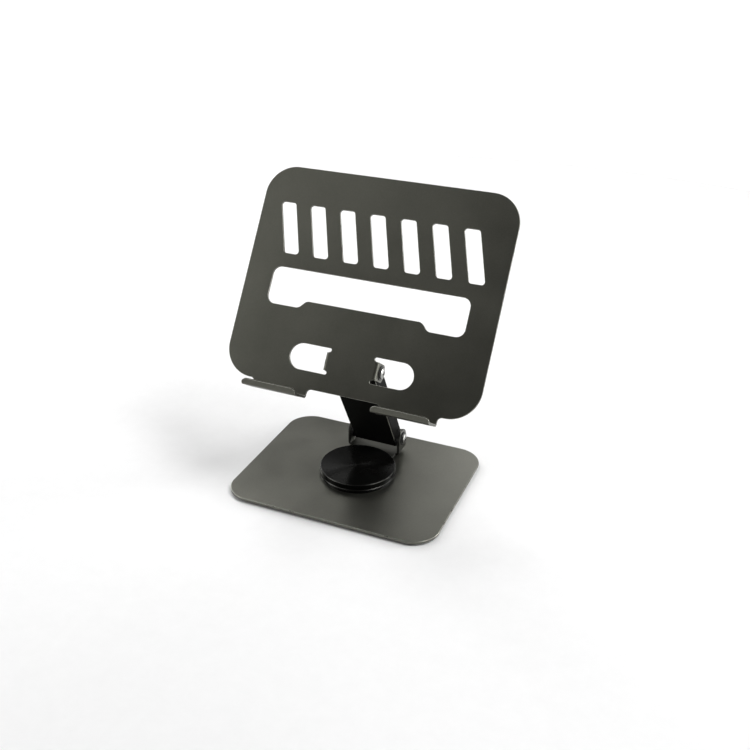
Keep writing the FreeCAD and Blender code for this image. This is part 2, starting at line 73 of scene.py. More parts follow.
def grain_group():
    """Fine grain of a coated or moulded skin: its height, its speckle and a slow mottle, each 0 to 1."""
    group, given, result = node_group(
        "fine_grain",
        [("Vector", "Vector", None), ("Grains per metre", "Float", 3000.0),
         ("Patches per metre", "Float", 25.0)],
        [("Height", "Float"), ("Speckle", "Float"), ("Mottle", "Float")])
    links = group.links
    layers = (("Height", "Grains per metre", 2.0, 0.6), ("Speckle", "Grains per metre", 3.0, 0.8),
              ("Mottle", "Patches per metre", 4.0, 0.55))
    for output, scale, detail, roughness in layers:
        noise = group.nodes.new("ShaderNodeTexNoise")
        noise.inputs["Detail"].default_value = detail
        noise.inputs["Roughness"].default_value = roughness
        links.new(given.outputs["Vector"], noise.inputs["Vector"])
        links.new(given.outputs[scale], noise.inputs["Scale"])
        links.new(noise.outputs["Fac"], result.inputs[output])
    return group


fine_grain = grain_group()


def skin(name, dark, light, rough, grains, patches, bump, metallic=0.0, specular=0.5):
    """A coated, plated or moulded skin: two close colours mixed by its grain, and a slightly uneven gloss.

    grains and patches are counted along a metre, and bump is the height of the grain.
    """
    grain_low = 0.3
    grain_high = 0.7
    gloss_change = 0.05
    material = bpy.data.materials.new(name)
    material.use_nodes = True
    nodes = material.node_tree.nodes
    links = material.node_tree.links
    shader = nodes["Principled BSDF"]
    shader.inputs["Metallic"].default_value = metallic
    shader.inputs["Specular IOR Level"].default_value = specular
    place = nodes.new("ShaderNodeTexCoord")
    grain = nodes.new("ShaderNodeGroup")
    grain.node_tree = fine_grain
    grain.inputs["Grains per metre"].default_value = grains
    grain.inputs["Patches per metre"].default_value = patches
    links.new(place.outputs["Object"], grain.inputs["Vector"])
    share = nodes.new("ShaderNodeMix")
    share.inputs["Factor"].default_value = 0.5
    links.new(grain.outputs["Mottle"], share.inputs["A"])
    links.new(grain.outputs["Speckle"], share.inputs["B"])
    colour = nodes.new("ShaderNodeValToRGB")
    colour.color_ramp.elements[0].position = grain_low
    colour.color_ramp.elements[0].color = (*dark, 1.0)
    colour.color_ramp.elements[1].position = grain_high
    colour.color_ramp.elements[1].color = (*light, 1.0)
    links.new(share.outputs["Result"], colour.inputs["Fac"])
    links.new(colour.outputs["Color"], shader.inputs["Base Color"])
    gloss = nodes.new("ShaderNodeMapRange")
    gloss.inputs["From Min"].default_value = grain_low
    gloss.inputs["From Max"].default_value = grain_high
    gloss.inputs["To Min"].default_value = rough - gloss_change
    gloss.inputs["To Max"].default_value = rough + gloss_change
    links.new(grain.outputs["Mottle"], gloss.inputs["Value"])
    links.new(gloss.outputs["Result"], shader.inputs["Roughness"])
    relief = nodes.new("ShaderNodeBump")
    relief.inputs["Strength"].default_value = 1.0
    relief.inputs["Distance"].default_value = bump
    links.new(grain.outputs["Height"], relief.inputs["Height"])
    links.new(relief.outputs["Normal"], shader.inputs["Normal"])
    return material


def turned(profile, place, steps, open_degrees=0.0, first_degrees=0.0):
    """A mesh turned round the upright line through place, from (radius, height) points.

    A profile that closes on itself leaves a ring. open_degrees leaves a gap, which is closed with flat ends.
    """
    work = bmesh.new()
    corners = [work.verts.new((radius, 0.0, height)) for radius, height in profile]
    if open_degrees:
        work.faces.new(corners)
    else:
        for pair in zip(corners, corners[1:]):
            work.edges.new(pair)
    bmesh.ops.rotate(work, verts=work.verts, cent=(0, 0, 0),
                     matrix=Matrix.Rotation(math.radians(first_degrees), 3, "Z"))
    bmesh.ops.spin(work, geom=work.verts[:] + work.edges[:] + work.faces[:], cent=(0, 0, 0),
                   axis=(0, 0, 1), angle=math.radians(360.0 - open_degrees), steps=steps,
                   use_merge=not open_degrees)
    bmesh.ops.remove_doubles(work, verts=work.verts, dist=weld_distance)
    bmesh.ops.recalc_face_normals(work, faces=work.faces)
    bmesh.ops.translate(work, verts=work.verts, vec=place)
    return work


def piece(work, name, materials, body, nodes, sharp_degrees=35.0):
    """The finished mesh as a piece of the stand that rides on a body and stands for its CAD nodes."""
    mesh = bpy.data.meshes.new(name)
    work.to_mesh(mesh)
    work.free()
    for material in materials:
        mesh.materials.append(material)
    mesh.polygons.foreach_set("use_smooth", [True] * len(mesh.polygons))
    mesh.set_sharp_from_angle(angle=math.radians(sharp_degrees))
    made = bpy.data.objects.new(name, mesh)
    bpy.context.scene.collection.objects.link(made)
    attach(made, body)
    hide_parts(*nodes)
    return made


foot_rubber = skin("foot_rubber_skin", (0.010, 0.010, 0.010), (0.022, 0.022, 0.021), 0.75, 2500, 120,
                   0.00004)
for corner in ("front_left", "front_right", "rear_left", "rear_right"):
    low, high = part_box("foot_" + corner)
    centre = (low + high) / 2
    radius = (high.x - low.x) / 2
    height = high.z - low.z
    sole = [(0.0, foot_hollow), (radius * 0.55, foot_hollow), (radius * 0.66, foot_hollow_edge),
            (radius * 0.7, 0.0)]
    rim = [(radius - foot_rim_round, 0.0),
           (radius - foot_rim_round * arc_middle, foot_rim_round * arc_middle),
           (radius, foot_rim_round), (radius, height), (0.0, height)]
    piece(turned(sole + rim, (centre.x, centre.y, low.z), foot_steps), "rubber_foot_" + corner,
          [foot_rubber], "base", ["foot_" + corner])


# Base plate
# One rounded rectangle of thick steel sheet, laser cut, tumbled to round its edges and powder coated in a
# satin warm grey. It has a hole for the swivel rivet and three for the seat's screws.
base_corner = 0.0245
base_edge_round = 0.0007
rivet_hole_radius = 0.00506
screw_hole_radius = 0.00296
seat_screw_circle = 0.026
corner_fineness = 0.00008
seam_weld_distance = 2e-6


def add_outline(work, corners):
    """The edges of a flat closed outline through (x, y, radius) corners, each rounded to its radius."""
    known = set(work.faces)
    points = [work.verts.new((x, y, 0.0)) for x, y, _ in corners]
    work.faces.new(points)
    for point, (_, _, radius) in zip(points, corners):
        if radius:
            setback = radius * math.tan(point.calc_edge_angle() / 2)
            segments = max(4, round(math.sqrt(radius / corner_fineness)))
            bmesh.ops.bevel(work, geom=[point], offset=setback, offset_type="OFFSET", affect="VERTICES",
                            segments=segments, profile=0.5, material=-1, clamp_overlap=False)
    filled = [face for face in work.faces if face not in known]
    bmesh.ops.delete(work, geom=filled, context="FACES_ONLY")


def add_hole(work, x, y, radius, steps=32):
    """The edges of a round hole."""
    bmesh.ops.create_circle(work, cap_ends=False, radius=radius, segments=steps,
                            matrix=Matrix.Translation((x, y, 0.0)))


def flat_sheet(outlines, holes=()):
    """A flat sheet in the XY plane: its outer outline, its cut-outs and its round holes."""
    work = bmesh.new()
    for corners in outlines:
        add_outline(work, corners)
    for x, y, radius in holes:
        add_hole(work, x, y, radius)
    bmesh.ops.remove_doubles(work, verts=work.verts, dist=weld_distance)
    bmesh.ops.triangle_fill(work, use_beauty=True, use_dissolve=False, edges=work.edges, normal=(0, 0, 1))
    return work


def joined(work, other, matrix):
    """Adds another sheet at its place and welds the edges that meet."""
    bmesh.ops.transform(other, matrix=matrix, verts=other.verts)
    carrier = bpy.data.meshes.new("carrier")
    other.to_mesh(carrier)
    other.free()
    work.from_mesh(carrier)
    bpy.data.meshes.remove(carrier)
    bmesh.ops.remove_doubles(work, verts=work.verts, dist=seam_weld_distance)


def finish_sheet(work, outwards):
    """Cleans a folded sheet and turns its face nearest to the outwards direction outwards."""
    bmesh.ops.dissolve_limit(work, angle_limit=math.radians(0.5), verts=work.verts, edges=work.edges)
    bmesh.ops.recalc_face_normals(work, faces=work.faces)
    widest = max(work.faces, key=lambda face: face.calc_area())
    if widest.normal.dot(Vector(outwards)) < 0:
        bmesh.ops.reverse_faces(work, faces=work.faces)


def give_thickness(made, thickness, edge_round):
    """The sheet's thickness behind its outer face, and the soft cut edges, which take the second material."""
    sheet = made.modifiers.new("sheet", "SOLIDIFY")
    sheet.thickness = thickness
    sheet.offset = -1.0
    sheet.use_even_offset = True
    edges = made.modifiers.new("soft_edges", "BEVEL")
    edges.width = edge_round
    edges.segments = 3
    edges.limit_method = "ANGLE"
    edges.angle_limit = math.radians(40)
    edges.use_clamp_overlap = False
    edges.harden_normals = True
    # On the base, the panel and the arm the second material is much lighter, a painted highlight on the rounded
    # edges.
    edges.material = 1


def rectangle(half_x, half_y, radius):
    """The corners of a rectangle round the origin."""
    return [(-half_x, -half_y, radius), (half_x, -half_y, radius),
            (half_x, half_y, radius), (-half_x, half_y, radius)]


def on_circle(radius, first_degrees, count=3):
    """Places spread evenly round the origin."""
    turns = [math.radians(first_degrees + 360.0 / count * index) for index in range(count)]
    return [(radius * math.cos(turn), radius * math.sin(turn)) for turn in turns]


base_coat = skin("base_powder_coat", (0.106, 0.106, 0.0905), (0.152, 0.152, 0.131), 0.33, 1200, 18, 0.000010,
                 metallic=0.85)
# The edge material is much lighter than the coat: a painted highlight along the rounded cut edges.
base_edge_highlight = skin("base_edge_painted_highlight", (0.19, 0.19, 0.165), (0.25, 0.25, 0.22), 0.3, 2600, 60, 0.00001,
                 metallic=0.85)
low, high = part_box("base_plate")
base_sheet = high.z - low.z
work = flat_sheet([rectangle(high.x, high.y, base_corner)],
                  [(0.0, 0.0, rivet_hole_radius)]
                  + [(x, y, screw_hole_radius) for x, y in on_circle(seat_screw_circle, 90)])
finish_sheet(work, (0, 0, 1))
bmesh.ops.translate(work, verts=work.verts, vec=(0, 0, high.z))
give_thickness(piece(work, "base_plate_sheet", [base_coat, base_edge_highlight], "base", ["base_plate"]),
               base_sheet, base_edge_round)


# Seat disc and what is inside the swivel
# A turned aluminium seat stands on the base and carries the swivel on a nylon slip washer. The axle is a
# steel rivet, with a second washer and a disc spring under its formed head. The seat is black anodised,
# the washers are nylon, and the rivet, the disc spring and the screws are plain zinc plated.
disc_steps = 180
seat_edge_round = 0.0004


def turning_rings(material, rings, depth):
    """Fine lathe marks round the upright axis, on top of the material's own grain."""
    nodes = material.node_tree.nodes
    links = material.node_tree.links
    marks = nodes.new("ShaderNodeTexWave")
    marks.wave_type = "RINGS"
    marks.rings_direction = "Z"
    marks.inputs["Scale"].default_value = rings
    marks.inputs["Distortion"].default_value = 0.4
    marks.inputs["Detail"].default_value = 1.0
    links.new(nodes["Texture Coordinate"].outputs["Object"], marks.inputs["Vector"])
    relief = nodes.new("ShaderNodeBump")
    relief.inputs["Distance"].default_value = depth
    links.new(marks.outputs["Fac"], relief.inputs["Height"])
    links.new(nodes["Bump"].outputs["Normal"], relief.inputs["Normal"])
    links.new(relief.outputs["Normal"], nodes["Principled BSDF"].inputs["Normal"])


def paint(node, material):
    """Gives a CAD node a better material in its own slot."""
    for material_slot in frame["nodes"][node].material_slots:
        material_slot.link = "OBJECT"
        material_slot.material = material


black_metal = skin("black_anodised_skin", (0.010, 0.010, 0.0095), (0.016, 0.016, 0.015), 0.32, 4000, 40,
                   0.000004, metallic=0.6)
turning_rings(black_metal, 700.0, 0.000004)
low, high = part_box("seat_disc")
radius = high.x
work = turned([(rivet_hole_radius, low.z), (radius, low.z), (radius, high.z - seat_edge_round),
               (radius - seat_edge_round * arc_middle, high.z - seat_edge_round * arc_middle),
               (radius - seat_edge_round, high.z), (rivet_hole_radius, high.z), (rivet_hole_radius, low.z)],
              (0, 0, 0), disc_steps)
piece(work, "turned_seat", [black_metal], "base", ["seat_disc"])

plain_zinc = skin("plain_zinc_plate", (0.40, 0.40, 0.39), (0.52, 0.52, 0.50), 0.36, 1800, 300, 0.00001,
                  metallic=1.0)
nylon = skin("natural_nylon", (0.55, 0.54, 0.49), (0.66, 0.65, 0.60), 0.45, 1500, 200, 0.00001)
for node in ("seat_screws", "pivot_rivet", "disc_spring", "cap_screws"):
    paint(node, plain_zinc)
for node in ("thrust_washer", "sliding_washer"):
    paint(node, nylon)


# Hinge bracket
# One stamping of thick steel: a round plate clamped under the cap, a tongue that runs to the rear, and two
# ears folded up from the tongue, which hold the lower hinge. Powder coated a darker warm grey.
bracket_sheet = 0.0025
bracket_fold_inside = 0.001
bracket_edge_round = 0.0004
hinge_hole_radius = 0.00256
cap_screw_circle = 0.0245
cap_screw_hole_radius = 0.00156
plate_steps = 96
hair = 0.00001


def bent(work, edges, centre, axis, degrees, steps=8):
    """Bends the sheet on from some free edges, round a line through centre, and gives the new free edges."""
    result = bmesh.ops.spin(work, geom=edges, cent=centre, axis=axis, angle=math.radians(degrees),
                            steps=steps, use_merge=False)
    return [part for part in result["geom_last"] if isinstance(part, bmesh.types.BMEdge)]


def run_on(work, edges, offset):
    """Runs the sheet straight on from some free edges, and gives the new free edges."""
    result = bmesh.ops.extrude_edge_only(work, edges=edges)
    points = {part for part in result["geom"] if isinstance(part, bmesh.types.BMVert)}
    bmesh.ops.translate(work, verts=list(points), vec=offset)
    return [part for part in result["geom"]
            if isinstance(part, bmesh.types.BMEdge) and set(part.verts) <= points]


def edges_where(work, test):
    """The free edges whose two ends both pass a test of their place."""
    return [edge for edge in work.edges
            if len(edge.link_faces) == 1 and all(test(vert.co) for vert in edge.verts)]


def near(value, wanted):
    """Whether two places are within a hair of each other."""
    return abs(value - wanted) < hair


bracket_coat = skin("bracket_coat_skin", (0.062, 0.062, 0.053), (0.078, 0.078, 0.067), 0.36, 2600, 40,
                    0.000008, metallic=0.85)
bracket_edge = skin("bracket_coat_on_the_edge", (0.05, 0.05, 0.046), (0.09, 0.09, 0.084), 0.28, 2600, 90,
                    0.000006, metallic=0.5)
low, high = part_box("hinge_bracket")
hinge_place = {joint["name"]: Vector(joint["pos_m"]) for joint in frame["joints"]}
hinge = hinge_place["arm_tilt"]
ear_radius = high.z - hinge.z
ear_front = hinge.y - ear_radius
ear_rear = hinge.y + ear_radius
plate_radius = -low.y
plate_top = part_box("cap_screws")[0].z + bracket_sheet
ear_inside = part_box("lower_friction_washer_right")[1].x
ear_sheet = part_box("lower_outer_washer_right")[0].x - ear_inside
tongue_half = ear_inside - bracket_fold_inside
work = bmesh.new()
start_turn = math.asin(tongue_half / plate_radius)
start = work.verts.new((plate_radius * math.sin(start_turn), plate_radius * math.cos(start_turn), 0))
bmesh.ops.spin(work, geom=[start], cent=(0, 0, 0), axis=(0, 0, 1), angle=2 * start_turn - math.tau,
               steps=plate_steps, use_merge=False)
end = next(vert for vert in work.verts if vert != start and len(vert.link_edges) == 1)
tongue_corners = ((tongue_half, ear_front), (tongue_half, ear_rear), (-tongue_half, ear_rear),
                  (-tongue_half, ear_front))
tongue = [start] + [work.verts.new((x, y, 0)) for x, y in tongue_corners] + [end]
for pair in zip(tongue, tongue[1:]):
    work.edges.new(pair)
add_hole(work, 0, 0, rivet_hole_radius)
for x, y in on_circle(cap_screw_circle, 30):
    add_hole(work, x, y, cap_screw_hole_radius)
bmesh.ops.triangle_fill(work, use_beauty=True, use_dissolve=False, edges=work.edges, normal=(0, 0, 1))
ear_outline = [(ear_front, bracket_fold_inside, 0), (ear_rear, bracket_fold_inside, 0),
               (ear_rear, high.z - plate_top, ear_radius - hair),
               (ear_front, high.z - plate_top, ear_radius - hair)]
for side in (-1, 1):
    fold_edge = edges_where(work, lambda place: near(place.x, side * tongue_half)
                            and place.y > ear_front - hair)
    bent(work, fold_edge, (side * tongue_half, 0, bracket_fold_inside), (0, 1, 0), -side * 90)
    ear = flat_sheet([ear_outline], [(hinge.y, hinge.z - plate_top, hinge_hole_radius)])
    joined(work, ear, Matrix(((0, 0, 1, side * ear_inside), (1, 0, 0, 0), (0, 1, 0, 0), (0, 0, 0, 1))))
finish_sheet(work, (0, 0, 1))
bmesh.ops.translate(work, verts=work.verts, vec=(0, 0, plate_top))
give_thickness(piece(work, "bracket_stamping", [bracket_coat, bracket_edge], "swivel",
                     ["hinge_bracket"]), ear_sheet, bracket_edge_round)


# Cap disc
# A black anodised aluminium disc, turned on a lathe: a flat face with fine rings that catch the light in
# rays, a bevel and a bead coloured lighter as a painted highlight, and a skirt round the bracket's plate,
# open for its tongue.
cap_bevel = 0.0005
cap_bevel_round = 0.00012
cap_wall_inset = 0.0005
cap_rim_height = 0.001
cap_hollow_radius = 0.0135
cap_roof = 0.0012
cap_skirt = 0.0029
tongue_gap = 0.0004
groove_first = 0.0030
groove_pitch = 0.0016
groove_depth = 0.00002
groove_half = 0.00012
bevel_arc_middle = 0.4
bevel_least_rise = 0.3
bevel_most_rise = 0.95

cap_metal = skin("cap_turned_skin", (0.0075, 0.0075, 0.0069), (0.0095, 0.0095, 0.0088), 0.27, 4000, 30,
                 0.0000005, metallic=0.6, specular=0.05)
# The bevel's material is much lighter than the black cap: a painted highlight on the bevel and the bead.
cap_bevel_highlight = skin("cap_bevel_painted_highlight", (0.04, 0.04, 0.037), (0.055, 0.055, 0.051), 0.3, 4000, 30, 0.000002,
                metallic=0.9)
turning_rings(cap_metal, 900.0, 0.0000005)
cap_shader = cap_metal.node_tree.nodes["Principled BSDF"]
cap_shader.inputs["Anisotropic"].default_value = 0.95
cap_shader.inputs["Anisotropic Rotation"].default_value = 0.25
around = cap_metal.node_tree.nodes.new("ShaderNodeTangent")
around.direction_type = "RADIAL"
around.axis = "Z"
cap_metal.node_tree.links.new(around.outputs["Tangent"], cap_shader.inputs["Tangent"])
low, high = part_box("cap_disc")
radius = high.x
wall = radius - cap_wall_inset
roof_face = [(0.0, high.z)]
ring = groove_first
while ring < wall - 3 * cap_bevel:
    roof_face += [(ring - groove_half, high.z), (ring, high.z - groove_depth), (ring + groove_half, high.z)]
    ring += groove_pitch
bevel_inner = wall - cap_bevel - cap_bevel_round
rim = [(bevel_inner, high.z), (wall - cap_bevel, high.z - cap_bevel_round * bevel_arc_middle),
       (wall - cap_bevel_round * bevel_arc_middle, high.z - cap_bevel),
       (wall, high.z - cap_bevel - cap_bevel_round)]
skirt_inside = radius - cap_skirt
under = [(wall, plate_top), (skirt_inside, plate_top), (cap_hollow_radius, plate_top),
         (cap_hollow_radius, high.z - cap_roof), (0.0, high.z - cap_roof)]
work = turned(roof_face + rim + under, (0, 0, 0), disc_steps)
gap_half_degrees = math.degrees(math.asin((tongue_half + tongue_gap) / radius))
skirt_steps = round(disc_steps * (180.0 - gap_half_degrees) / 180.0)
gap_half_degrees = 180.0 - 180.0 * skirt_steps / disc_steps
rim_top = low.z + cap_rim_height
skirt = turned([(skirt_inside, low.z), (radius - cap_bevel_round, low.z), (radius, low.z + cap_bevel_round),
                (radius, rim_top - cap_wall_inset), (wall, rim_top), (wall, plate_top),
                (skirt_inside, plate_top)],
               (0, 0, 0), skirt_steps, open_degrees=2 * gap_half_degrees,
               first_degrees=90.0 + gap_half_degrees)
joined(work, skirt, Matrix.Identity(4))
inner_faces = [face for face in work.faces
               if all(near(vert.co.z, plate_top) and vert.co.xy.length > skirt_inside - hair
                      for vert in face.verts)
               and math.degrees(abs(Vector((0, 1)).angle(face.calc_center_median().xy))) > gap_half_degrees]
bmesh.ops.delete(work, geom=inner_faces, context="FACES_ONLY")
bmesh.ops.recalc_face_normals(work, faces=work.faces)
# The rising faces of the bevel and the bead take the lighter second material, a painted highlight.
for face in work.faces:
    rises = bevel_least_rise < face.normal.z < bevel_most_rise
    if rises and face.calc_center_median().xy.length > bevel_inner:
        face.material_index = 1
piece(work, "turned_cap", [cap_metal, cap_bevel_highlight], "swivel", ["cap_disc"], sharp_degrees=20.0)


# Arm
# A U channel folded from steel sheet: the web faces the user and two flanges run back from it, rounded at
# both ends where the hinge screws pass. Coated dull black, with a much lighter colour painted on the crests
# of its folds and on its rounded edges as a painted highlight.
arm_sheet = 0.0015
arm_depth = 0.015
arm_fold_outside = 0.002
arm_lower_end = 0.0050
arm_upper_end = 0.005
arm_edge_round = 0.0003
arm_end_flat = 0.0004
fold_highlight_from = 35
fold_highlight_to = 55

arm_coat = skin("arm_coat_skin", (0.006, 0.006, 0.0055), (0.009, 0.009, 0.0083), 0.42, 2600, 30, 0.000008,
                specular=0.01)
# The second material is much lighter than the coat: a painted highlight on the fold crests and rounded edges.
arm_fold_highlight = skin("arm_folds_painted_highlight", (0.20, 0.20, 0.185), (0.28, 0.28, 0.26), 0.4, 2600, 90, 0.000006,
                metallic=0.8)
low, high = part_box("arm_channel")
arm_half = high.x
arm_line = hinge_place["panel_tilt"] - hinge_place["arm_tilt"]
arm_length = arm_line.length
arm_lean = math.atan2(-arm_line.y, arm_line.z)
arm_top = arm_length + arm_upper_end
front = -arm_depth / 2
rear = arm_depth / 2
web_half = arm_half - arm_fold_outside
work = flat_sheet([[(-web_half, -arm_lower_end, 0), (web_half, -arm_lower_end, 0), (web_half, arm_top, 0),
                    (-web_half, arm_top, 0)]])
bmesh.ops.transform(work, matrix=Matrix(((1, 0, 0, 0), (0, 0, -1, front), (0, 1, 0, 0), (0, 0, 0, 1))),
                    verts=work.verts)
flange_outline = [(front + arm_fold_outside, -arm_lower_end, 0),
                  (rear, -arm_lower_end, rear - arm_end_flat),
                  (rear, arm_top, arm_upper_end - arm_end_flat), (front + arm_fold_outside, arm_top, 0)]
for side in (-1, 1):
    fold_edge = edges_where(work, lambda place: near(place.x, side * web_half))
    bent(work, fold_edge, (side * web_half, front + arm_fold_outside, 0), (0, 0, 1), side * 90)
    flange = flat_sheet([flange_outline], [(0, 0, hinge_hole_radius), (0, arm_length, hinge_hole_radius)])
    joined(work, flange, Matrix(((0, 0, 1, side * arm_half), (1, 0, 0, 0), (0, 1, 0, 0), (0, 0, 0, 1))))
finish_sheet(work, (0, -1, 0))
# The faces on the crests of the folds take the lighter second material, a painted highlight.
for face in work.faces:
    if fold_highlight_from < math.degrees(abs(math.atan2(face.normal.x, -face.normal.y))) < fold_highlight_to:
        face.material_index = 1
bmesh.ops.transform(work, matrix=Matrix.Translation(hinge_place["arm_tilt"])
                    @ Matrix.Rotation(arm_lean, 4, "X"), verts=work.verts)
give_thickness(piece(work, "arm_folding", [arm_coat, arm_fold_highlight], "arm", ["arm_channel"]),
               arm_sheet, arm_edge_round)


# Hinge screws, washers and nuts
# Each hinge has a pan-head cross screw from each side, bright zinc plated, on a black nylon washer. Inside
# the channel a split spring washer and a lock nut with a nylon collar keep the friction washers squeezed.
washer_round = 0.0002
nut_height = 0.005
nut_collar = 0.0013
collar_inset = 0.0004
nut_edge_round = 0.0003
split_degrees = 12.0
small_steps = 48

bright_zinc = skin("bright_zinc_plate", (0.26, 0.26, 0.25), (0.36, 0.36, 0.345), 0.34, 1500, 400, 0.000006,
                   metallic=1.0)
black_nylon = skin("black_nylon_skin", (0.010, 0.010, 0.010), (0.018, 0.018, 0.018), 0.5, 2500, 300, 0.00001)
collar_nylon = skin("blue_nylon_collar", (0.02, 0.06, 0.16), (0.03, 0.08, 0.20), 0.4, 2500, 300, 0.00001)


def laid_on_side(work, place):
    """Lays a mesh made on the upright axis so that up becomes +X, at its place."""
    bmesh.ops.transform(work, matrix=Matrix.Translation(place) @ Matrix.Rotation(math.radians(90), 4, "Y"),
                        verts=work.verts)
    return work


for station, joint, station_body in (("lower", "arm_tilt", "swivel"), ("upper", "panel_tilt", "panel")):
    for side, side_name in ((-1, "left"), (1, "right")):
        paint(f"{station}_screw_{side_name}", bright_zinc)
        paint(f"{station}_friction_washer_{side_name}", black_nylon)
        if station == "lower":
            paint(f"lower_spacer_{side_name}", black_nylon)

        node = f"{station}_outer_washer_{side_name}"
        low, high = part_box(node)
        radius = (high.z - low.z) / 2
        thick = high.x - low.x
        section = [(hinge_hole_radius, 0), (radius - washer_round, 0), (radius, washer_round),
                   (radius, thick - washer_round), (radius - washer_round, thick),
                   (hinge_hole_radius, thick), (hinge_hole_radius, 0)]
        centre = Vector((low.x, (low.y + high.y) / 2, (low.z + high.z) / 2))
        piece(laid_on_side(turned(section, (0, 0, 0), small_steps), centre),
              f"{station}_head_washer_{side_name}", [black_nylon], station_body, [node])

        node = f"{station}_spring_washer_{side_name}"
        low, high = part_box(node)
        radius = (high.z - low.z) / 2
        section = [(hinge_hole_radius, 0), (radius, 0), (radius, high.x - low.x),
                   (hinge_hole_radius, high.x - low.x)]
        centre.x = low.x
        washer = turned(section, (0, 0, 0), small_steps, open_degrees=split_degrees)
        piece(laid_on_side(washer, centre), f"{station}_split_washer_{side_name}", [plain_zinc],
              station_body, [node])

        node = f"{station}_lock_nut_{side_name}"
        low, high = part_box(node)
        across_corners = (high.z - low.z) / 2
        hexagon = [(x, y, 0.0) for x, y in on_circle(across_corners, 0, 6)]
        body = flat_sheet([hexagon], [(0, 0, hinge_hole_radius)])
        finish_sheet(body, (0, 0, side))
        seat = high.x if side > 0 else low.x
        centre.x = seat
        nut = piece(laid_on_side(body, centre), f"{station}_hexagon_nut_{side_name}",
                    [plain_zinc, bright_zinc], station_body, [node])
        give_thickness(nut, nut_height - nut_collar, nut_edge_round)
        collar_radius = across_corners * math.sqrt(3) / 2 - collar_inset
        far = nut_height - nut_collar
        section = [(hinge_hole_radius, far), (collar_radius, far),
                   (collar_radius, nut_height - nut_edge_round),
                   (collar_radius - nut_edge_round, nut_height), (hinge_hole_radius, nut_height),
                   (hinge_hole_radius, far)]
        section = [(across, -side * along) for across, along in section]
        piece(laid_on_side(turned(section, (0, 0, 0), small_steps), centre),
              f"{station}_nut_collar_{side_name}", [collar_nylon], station_body, [node])


# Panel
# One sheet of steel, laser cut and folded: seven slanted slots and a wide stepped window to save weight,
# two ears bent back from the finger holes to the upper hinge, and two hooks bent forwards for the tablet.
panel_height = 0.195
panel_corner = 0.0274
panel_sheet = 0.002
panel_edge_round = 0.00028
hinge_up = 0.0272
hinge_back = 0.0115
slot_count = 7
slot_pitch = 0.0288
slot_width = 0.0143
slot_shift = 0.0144
slot_bottom = 0.1154
slot_top = 0.1616
slot_corner = 0.0028
window_half = 0.0925
window_top = 0.1027
window_bottom = 0.0686
window_step = 0.0757
window_step_half = 0.054
window_slope = 0.0065
window_corner = 0.0076
window_step_corner = 0.006
finger_radius = 0.0117
finger_end = 0.058
relief_radius = 0.0016
relief_end = 0.0202
ear_fold = 0.0025
ear_height = 0.016
ear_depth = 0.0215
ear_corner = 0.0065
hook_inner_end = 0.0345
hook_outer_end = 0.086
hook_neck_fillet = 0.004
hook_drop = 0.0084
hook_reach = 0.0226
hook_lip_top = -0.0036
hook_lip_flare = math.radians(30)
hook_fold_outside = 0.003
hook_lip_corner = 0.0046

panel_coat = skin("panel_powder_coat", (0.084, 0.084, 0.070), (0.129, 0.129, 0.108), 0.40, 1200, 14, 0.000010,
                  metallic=0.85)
# The edge material is much lighter than the coat: a painted highlight along the rounded cut edges.
panel_edge_highlight = skin("panel_edge_painted_highlight", (0.26, 0.26, 0.23), (0.36, 0.36, 0.32), 0.3, 2600, 60, 0.00001,
                  metallic=0.85)
low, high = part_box("tablet_panel")
panel_half = high.x
ear_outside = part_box("upper_outer_washer_right")[0].x
face_axis = next(mount["axis"] for mount in frame["record"]["mounts"] if mount["name"] == "tablet_face")
panel_turn = math.atan2(-face_axis[1], face_axis[2])
neck_end = hook_fold_outside - hook_drop
fold_line = ear_outside - ear_fold

outline = [(-panel_half, 0, panel_corner)]
for inner, outer in ((-hook_outer_end, -hook_inner_end), (hook_inner_end, hook_outer_end)):
    outline += [(inner, 0, hook_neck_fillet), (inner, neck_end, 0), (outer, neck_end, 0),
                (outer, 0, hook_neck_fillet)]
outline += [(panel_half, 0, panel_corner), (panel_half, panel_height, panel_corner),
            (-panel_half, panel_height, panel_corner)]
cut_outs = []
for index in range(slot_count):
    middle = (index - (slot_count - 1) / 2) * slot_pitch
    left = middle - slot_width / 2
    right = middle + slot_width / 2
    cut_outs.append([(left + slot_shift / 2, slot_bottom, slot_corner),
                     (right + slot_shift / 2, slot_bottom, slot_corner),
                     (right - slot_shift / 2, slot_top, slot_corner),
                     (left - slot_shift / 2, slot_top, slot_corner)])
step_foot = window_step_half + window_slope
cut_outs.append([(-window_half, window_bottom, window_corner),
                 (-step_foot, window_bottom, window_step_corner),
                 (-window_step_half, window_step, window_step_corner),
                 (window_step_half, window_step, window_step_corner),
                 (step_foot, window_bottom, window_step_corner),
                 (window_half, window_bottom, window_corner), (window_half, window_top, window_corner),
                 (-window_half, window_top, window_corner)])
finger_low = hinge_up - finger_radius
finger_high = hinge_up + finger_radius
relief = 2 * relief_radius
for side in (-1, 1):
    cut_outs.append([(side * relief_end, finger_low, relief_radius),
                     (side * finger_end, finger_low, finger_radius - hair),
                     (side * finger_end, finger_high, finger_radius - hair),
                     (side * relief_end, finger_high, relief_radius),
                     (side * relief_end, finger_high - relief, relief_radius - hair),
                     (side * fold_line, finger_high - relief, 0),
                     (side * fold_line, hinge_up + ear_height / 2, 0),
                     (side * fold_line, hinge_up - ear_height / 2, 0),
                     (side * fold_line, finger_low + relief, 0),
                     (side * relief_end, finger_low + relief, relief_radius - hair)])
work = flat_sheet([outline] + cut_outs)

